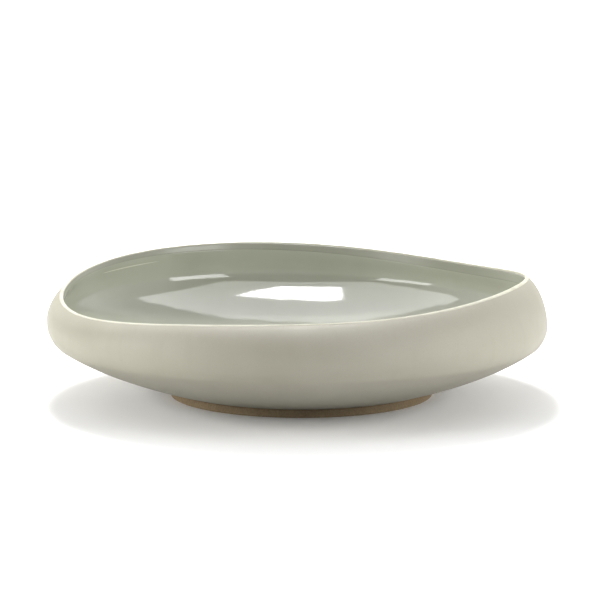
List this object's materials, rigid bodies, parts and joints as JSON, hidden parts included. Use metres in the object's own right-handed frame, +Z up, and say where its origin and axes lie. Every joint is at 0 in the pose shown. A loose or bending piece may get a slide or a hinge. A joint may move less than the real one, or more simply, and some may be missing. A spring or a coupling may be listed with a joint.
{
  "type": "bowl",
  "caption": "Wide shallow stoneware bowl on a bare clay foot ring, with a collar that leans in to a wavy rim.",
  "frame": {"origin": "on the ground under the centre of the widest circle of the belly", "axes": "+Z up through the open mouth, +X to the right in the picture, +Y away from the camera"},
  "size_m": [0.34, 0.34, 0.0842],
  "materials": {
    "clay_body": "matt fired clay, pale at the lip",
    "foot_ring": "bare brown clay, rough",
    "outer_coat": "matt warm beige-grey",
    "rim_glaze": "satin grey",
    "inner_glaze": "glossy grey-green"
  },
  "bodies": {
    "root": {"clay_body": "clay_body", "foot_ring": "foot_ring", "outer_coat": "outer_coat", "rim_glaze": "rim_glaze", "inner_glaze": "inner_glaze"}
  },
  "joints": []
}
